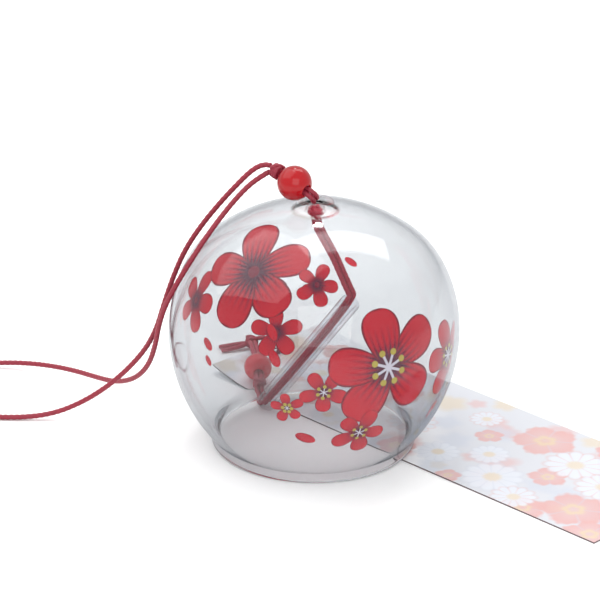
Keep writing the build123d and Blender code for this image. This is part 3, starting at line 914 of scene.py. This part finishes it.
class BellColours(bpy.types.PropertyGroup):
    """Colours of the glass, the cord, the beads, the paint, the strip and the table"""

    # Painted reflection: the grey tint of the belly, clearing to the crown's tint, stands in for
    # the room seen in the glass
    glass: colour_property("Glass", "Tint of the blown glass", "#EDEEEF")
    crown: colour_property("Crown", "Tint of the glass at its crown", "#F8F9FA")
    # Painted shade: the grey of the glass where it is seen edge on
    glass_edge_shade: colour_property("Glass edge", "Grey of the glass seen edge on", "#858A8F")
    tube: colour_property("Tube", "Tint of the glass tube", "#F6F6F8")
    # Painted light: a brightened copy of the cord, for the cord seen through the glass
    cord_bright: colour_property("Bright cord", "Lit side of the cord behind the bell", "#B81C3A")
    cord: colour_property("Cord", "Lit side of the cord", "#A01C36")
    cord_dark: colour_property("Cord shade", "Hollows of the cord", "#640E20")
    bead: colour_property("Beads", "Red resin of the beads", "#A00812")
    # Painted light: a brightened copy of the bead resin, for the lower bead seen through the glass
    bead_brightened_behind_glass: colour_property("Light bead", "Lighter resin of the lower bead", "#D4142A")
    # Painted shade: the darker red at the beads' edges
    bead_edge_shade: colour_property("Bead edge", "Deep red at the edges of the beads", "#6E0A12")
    petal: colour_property("Petals", "Red enamel of the petals", "#D40E2A")
    petal_edge: colour_property("Petal edge", "Outline of the petals", "#6A0A28")
    petal_base: colour_property("Petal base", "Dark base of the petals", "#5A0C34")
    stamen: colour_property("Stamen tips", "Yellow dots of the stamens", "#C9B84A")
    thread: colour_property("Stamen threads", "Pale threads of the stamens", "#E4E0EA")
    # Painted light: the card's base is lighter under the bell, making up for the shade of the glass
    # over it
    card_lightened_under_bell: colour_property("Plain card", "White end of the strip, under the bell", "#E6E7EA")
    card: colour_property("Card", "White of the strip", "#C6C8CE")
    print_pink: colour_property("Pink print", "Pink wash on the strip", "#CC9F9C")
    print_peach: colour_property("Peach print", "Peach wash on the strip", "#CFBC9C")
    print_blue: colour_property("Blue print", "Blue wash on the strip", "#BAC0CD")
    print_white: colour_property("White print", "White flowers on the strip", "#CED2DA")
    # Painted shade: the dark grey-brown of the strip's cut edge stands in for the shadow under the
    # edge
    card_edge_shade: colour_property("Card edge", "Cut edge of the strip", "#5C4A4C")
    floor: colour_property("Floor", "Pale table", "#FAFAFA")


def sizes():
    """The sizes that the panel shows."""
    return bpy.context.scene.bell_sizes


def tints(*names):
    """Colours of the panel by name."""
    return [tuple(getattr(bpy.context.scene.bell_colours, name)) for name in names]


def cord_look():
    """The cord in its own colour: above the globe and in the free loop."""
    name = "Twisted rayon cord"
    return bpy.data.materials.get(name) or cord_material(name, *tints("cord", "cord_dark"))


def cord_look_brightened_behind_glass():
    """The same cord brightened as painted light, in and behind the bell, where the glass is in
    front of it.
    """
    return cord_material("Twisted rayon cord, bright", *tints("cord_bright", "cord"))


class BELL_OT_globe(bpy.types.Operator):
    """Blow the glass globe with its rolled rim and its collar"""

    bl_idname = "bell.globe"
    bl_label = "Glass globe"

    def execute(self, context):
        points = placed(leaned(revolved(globe_outline(), sizes().globe_segments)))
        vertices, quads = grid(points, close_rows=True, close_columns=True)
        material = glass_material("Clear blown glass", *tints("glass", "crown", "glass_edge_shade"))
        mesh_object("globe", vertices, quads, material, "globe", ["glass_globe"], "clear_glass")
        return {"FINISHED"}


class BELL_OT_blossoms(bpy.types.Operator):
    """Paint the plum blossoms and the loose petals on the inside of the glass"""

    bl_idname = "bell.blossoms"
    bl_label = "Painted blossoms"

    def execute(self, context):
        palette = tints("petal", "petal_edge", "petal_base", "stamen", "thread")
        grids, paints = [], []
        for blossom in BLOSSOMS:
            more_grids, more_paints = blossom_grids(blossom, palette)
            grids += more_grids
            paints += more_paints
        for petal in LOOSE_PETALS:
            one_grid, one_paint = loose_petal(petal, palette)
            grids.append(one_grid)
            paints.append(one_paint)
        paint = np.concatenate(paints)
        mesh_object("blossoms", *join(grids), paint_material(), "globe", [], colours=paint)
        return {"FINISHED"}


class BELL_OT_beads(bpy.types.Operator):
    """Thread the two red beads"""

    bl_idname = "bell.beads"
    bl_label = "Beads"

    def execute(self, context):
        deep = bead_material("Polished red resin", *tints("bead", "bead_edge_shade"))
        # Painted light: the lower bead, seen through the glass, takes the brightened copy of the
        # resin
        light = bead_material("Polished red resin, light", *tints("bead_brightened_behind_glass", "bead"))
        top = bead_grid(TOP_BEAD_CENTER, TOP_BEAD_AXIS, TOP_BEAD_R)
        mesh_object("upper_ball", *top, deep, "upper_bead", ["top_bead"], "red_bead")
        low = bead_grid(LOWER_BEAD_CENTER, LOWER_BEAD_AXIS, LOWER_BEAD_R)
        mesh_object("lower_ball", *low, light, "tail_bead", ["lower_bead"], "red_bead")
        return {"FINISHED"}


class BELL_OT_tube(bpy.types.Operator):
    """Draw the clapper's glass tube"""

    bl_idname = "bell.tube"
    bl_label = "Clapper tube"

    def execute(self, context):
        material = tube_material("Clear drawn glass tube", *tints("tube", "glass_edge_shade"))
        mesh_object("striker_tube", *tube_grid(), material, "tube", ["clapper_tube"], "tube_glass")
        return {"FINISHED"}


class BELL_OT_held_cords(bpy.types.Operator):
    """Lay the short doubled cords through the beads, the globe and the tube, with their knots"""

    bl_idname = "bell.held_cords"
    bl_label = "Held cords and knots"

    def execute(self, context):
        dull, bright = cord_look(), cord_look_brightened_behind_glass()
        level = np.cross(CORD_HEADING, (0, 0, 1))
        out = -unit(TOP_BEAD_AXIS)
        down = unit(np.array(NECK_ROUTE[-1]) - np.array(TOP_BEAD_CENTER))
        gap = TOP_BEAD_R + KNOT_GAP + KNOT_LENGTH / 2
        above_bead = np.array(TOP_BEAD_CENTER) - out * gap
        under_throat = leaned(np.array([0, 0, STOPPER_KNOT_CENTER_Z]))
        knots = {
            "loop": knot_grids(above_bead, out, KNOT_LENGTH),
            "tube": knot_grids(TUBE_KNOT_CENTER, TUBE_KNOT_AXIS, KNOT_LENGTH),
            "strip": knot_grids(STRIP_KNOT_CENTER, STRIP_KNOT_AXIS, KNOT_LENGTH),
            "stopper": knot_grids(under_throat, STOPPER_KNOT_AXIS, STOPPER_KNOT_LENGTH),
        }
        through = [strand(route_line(STRIP_LOOP_ROUTE), STRAND_R)]
        ends = [strand(route_line(route), STRAND_R) for route in END_ROUTES]
        cords = [
            ("neck_pair", paired(NECK_ROUTE, np.cross(out, down)), "hanger", "neck_cord"),
            ("clapper_pair", paired(CLAPPER_ROUTE[::-1], level), "clapper", "clapper_cord"),
            ("tail_pair", paired(TAIL_ROUTE, level), "tail", "tail_cord"),
            ("strip_eye", through, "tail", "strip_loop"),
            ("cut_ends", ends, "tail", "cord_ends"),
            ("upper_knot", knots["loop"], "hanger", "loop_knot"),
            ("tube_stop", knots["tube"], "tail", "tube_knot"),
            ("strip_stop", knots["strip"], "tail", "strip_knot"),
            ("inner_stop", knots["stopper"], "clapper", "stopper_knot"),
        ]
        # The clapper cord is left in place and rides on no body; the tail begins under the globe's
        # rim
        foot = ("globe", placed(TUBE_FOOT), placed(CLAPPER_ROUTE[-1]))
        for name, grids, body, cad_node in cords:
            # Painted light: the cord seen through the glass takes the brightened copy
            look = dull if body == "hanger" else bright
            held = foot if name == "clapper_pair" else None
            mesh_object(name, *join(grids), look, body, [cad_node], "red_cord", held=held)
        return {"FINISHED"}


class BELL_OT_loop(bpy.types.Operator):
    """Lay the free hanging loop down the globe's side and over the table"""

    bl_idname = "bell.loop"
    bl_label = "Hanging loop"

    def execute(self, context):
        line = route_line(LOOP_ROUTE)
        rope = strand(line, CORD_R)
        piece = mesh_object(
            "loop_strand", *rope, cord_look(), "hanger", ["hanging_loop"], "red_cord"
        )
        return {"FINISHED"}


class BELL_OT_strip(bpy.types.Operator):
    """Print and cut the paper strip, with its curled end and its hole"""

    bl_idname = "bell.strip"
    bl_label = "Paper strip"

    def execute(self, context):
        card, card_edge_shade = tints("card", "card_edge_shade")
        palette = tints(
            "card_lightened_under_bell", "card", "print_pink", "print_peach", "print_blue", "print_white"
        )
        middle = (STRIP_FRONT_Y + STRIP_BACK_Y) / 2
        grids, paints = [], []
        for x, y in self.flat_patches(middle):
            grids.append(grid(on_strip(x, y, STRIP_THICKNESS)))
            paints.append(strip_print(x, y, palette).reshape(-1, 4))
        for x, y in self.flat_patches(middle, 0.15):
            vertices, quads = grid(on_strip(x, y, 0))
            grids.append((vertices, quads[:, ::-1]))
            paints.append(np.tile(card, (x.size, 1)))
        for x, y in self.edge_loops(middle):
            edge = np.stack([on_strip(x, y, STRIP_THICKNESS), on_strip(x, y, 0)])
            grids.append(grid(edge, close_columns=True))
            # Painted shade on the cut edges of the strip and its hole
            paints.append(np.tile(card_edge_shade, (2 * x.size, 1)))
        mesh_object(
            "card", *join(grids), card_material(), "strip", ["paper_strip"], "strip_paper",
            np.concatenate(paints),
        )
        return {"FINISHED"}

    def flat_patches(self, middle, density=1.0):
        """The sheet right of the hole's square, its two sides, and a ring from square to hole."""
        left, right = STRIP_HOLE_X - STRIP_RING_REACH, STRIP_HOLE_X + STRIP_RING_REACH
        low, high = middle - STRIP_RING_REACH, middle + STRIP_RING_REACH
        spans = [
            (right, STRIP_RIGHT_X, 480, STRIP_FRONT_Y, STRIP_BACK_Y, 164),
            (left, right, 34, STRIP_FRONT_Y, low, 66),
            (left, right, 34, high, STRIP_BACK_Y, 66),
        ]
        patches = []
        for x0, x1, nx, y0, y1, ny in spans:
            steps_x, steps_y = max(6, int(nx * density)), max(6, int(ny * density))
            lines = np.linspace(x0, x1, steps_x), np.linspace(y0, y1, steps_y)
            patches.append(np.meshgrid(*lines, indexing="ij"))
        angles = np.linspace(0, 2 * np.pi, 97)[None, :]
        square = STRIP_RING_REACH / np.maximum(np.abs(np.cos(angles)), np.abs(np.sin(angles)))
        share = np.linspace(0, 1, 9)[:, None]
        reach = STRIP_HOLE_R * (1 - share) + square * share
        patches.append((STRIP_HOLE_X + reach * np.cos(angles), middle - reach * np.sin(angles)))
        return patches

    def edge_loops(self, middle):
        """The sheet's outline and the hole's, as closed loops of points."""
        x = np.linspace(STRIP_LEFT_X, STRIP_RIGHT_X, 200)
        y = np.linspace(STRIP_FRONT_Y, STRIP_BACK_Y, 40)
        right, left = np.full(38, STRIP_RIGHT_X), np.full(38, STRIP_LEFT_X)
        front, back = np.full(200, STRIP_FRONT_Y), np.full(200, STRIP_BACK_Y)
        outline_x = np.concatenate([x, right, x[::-1], left])
        outline_y = np.concatenate([front, y[1:-1], back, y[1:-1][::-1]])
        angles = np.linspace(0, 2 * np.pi, 96, endpoint=False)
        hole_x = STRIP_HOLE_X + STRIP_HOLE_R * np.cos(angles)
        return [(outline_x, outline_y), (hole_x, middle - STRIP_HOLE_R * np.sin(angles))]


class BELL_OT_stage(bpy.types.Operator):
    """Set the table, the soft studio light, the white background and the camera"""

    bl_idname = "bell.stage"
    bl_label = "Stage"

    def execute(self, context):
        self.table()
        for lamp in LAMPS:
            self.light(*lamp)
        self.world()
        self.camera(context)
        return {"FINISHED"}

    def table(self):
        """A flat square, just under the bell."""
        half = sizes().floor_size / 2
        side = np.array([-half, half])
        x, y = np.meshgrid(side, side)
        vertices, quads = grid(np.stack([x, y, 0 * x], -1))
        mesh = bpy.data.meshes.new("table")
        mesh.from_pydata(vertices.tolist(), [], quads.tolist())
        table = bpy.data.objects.new("table", mesh)
        table.location.z = TABLE_Z
        bpy.context.scene.collection.objects.link(table)
        material, tree, output = new_material("Matt white table")
        principled(tree, output, **{"Base Color": tints("floor")[0], "Roughness": 0.7})
        mesh.materials.append(material)

    def light(self, name, place, size, power, long_side):
        """A rectangular lamp that faces the bell, its first side along the given direction."""
        lamp = bpy.data.lights.new(name, "AREA")
        lamp.shape = "RECTANGLE"
        lamp.size, lamp.size_y = size
        lamp.energy = power
        holder = bpy.data.objects.new(name, lamp)
        holder.location = place
        away = (Vector(place) - Vector(LAMP_TARGET)).normalized()
        upward = away.cross(Vector(long_side)).normalized()
        turn = Matrix((upward.cross(away), upward, away)).transposed()
        holder.rotation_euler = turn.to_euler()
        bpy.context.scene.collection.objects.link(holder)

    def world(self):
        """Even white light from all round, which is also what is seen past the table."""
        world = bpy.data.worlds.new("studio")
        bpy.context.scene.world = world
        world.use_nodes = True
        tree = world.node_tree
        tree.nodes.clear()
        white = node(tree, "ShaderNodeBackground", 0, 0, Color=(1, 1, 1, 1), Strength=1.0)
        node(tree, "ShaderNodeOutputWorld", 200, 0, Surface=white.outputs[0])

    def camera(self, context):
        """The photograph's view: a camera turned from level by its roll."""
        lens = bpy.data.cameras.new("camera")
        lens.lens = sizes().camera_lens
        lens.sensor_width = SENSOR_WIDTH
        lens.clip_start = 0.01
        eye = bpy.data.objects.new("camera", lens)
        direction = Vector(CAMERA_DIRECTION).normalized()
        right = direction.cross(Vector((0, 0, 1))).normalized()
        up = right.cross(direction)
        cosine, sine = np.cos(CAMERA_ROLL), np.sin(CAMERA_ROLL)
        tilted_right = right * cosine + up * sine
        tilted_up = up * cosine - right * sine
        turn = Matrix((tilted_right, tilted_up, -direction)).transposed()
        eye.rotation_euler = turn.to_euler()
        eye.location = placed(CAMERA_PLACE)
        context.scene.collection.objects.link(eye)
        context.scene.camera = eye
        context.scene.view_settings.view_transform = "Standard"


class BELL_PT_panel(bpy.types.Panel):
    """Lists the sizes, the colours and the steps that build the bell"""

    bl_idname = "BELL_PT_panel"
    bl_label = "Wind bell"
    bl_space_type = "VIEW_3D"
    bl_region_type = "UI"
    bl_category = "Wind bell"

    def draw(self, context):
        """Each size and colour, then a button for each step."""
        for group in (context.scene.bell_sizes, context.scene.bell_colours):
            for name in group.__annotations__:
                self.layout.prop(group, name)
        for operator in OPERATORS:
            self.layout.operator(operator.bl_idname)


OPERATORS = (
    BELL_OT_globe,
    BELL_OT_blossoms,
    BELL_OT_beads,
    BELL_OT_tube,
    BELL_OT_held_cords,
    BELL_OT_loop,
    BELL_OT_strip,
    BELL_OT_stage,
)
CLASSES = (BellSizes, BellColours, *OPERATORS, BELL_PT_panel)


def register():
    """Makes the classes known and adds the sizes and colours to the scene."""
    for cls in CLASSES:
        bpy.utils.register_class(cls)
    bpy.types.Scene.bell_sizes = bpy.props.PointerProperty(type=BellSizes)
    bpy.types.Scene.bell_colours = bpy.props.PointerProperty(type=BellColours)


def unregister():
    """Takes the sizes, the colours and the classes away again."""
    del bpy.types.Scene.bell_colours
    del bpy.types.Scene.bell_sizes
    for cls in reversed(CLASSES):
        bpy.utils.unregister_class(cls)


def main():
    """Builds every piece and the stage."""
    register()
    bpy.ops.bell.globe()
    bpy.ops.bell.blossoms()
    bpy.ops.bell.beads()
    bpy.ops.bell.tube()
    bpy.ops.bell.held_cords()
    bpy.ops.bell.loop()
    bpy.ops.bell.strip()
    bpy.ops.bell.stage()


if __name__ == "__main__":
    main()
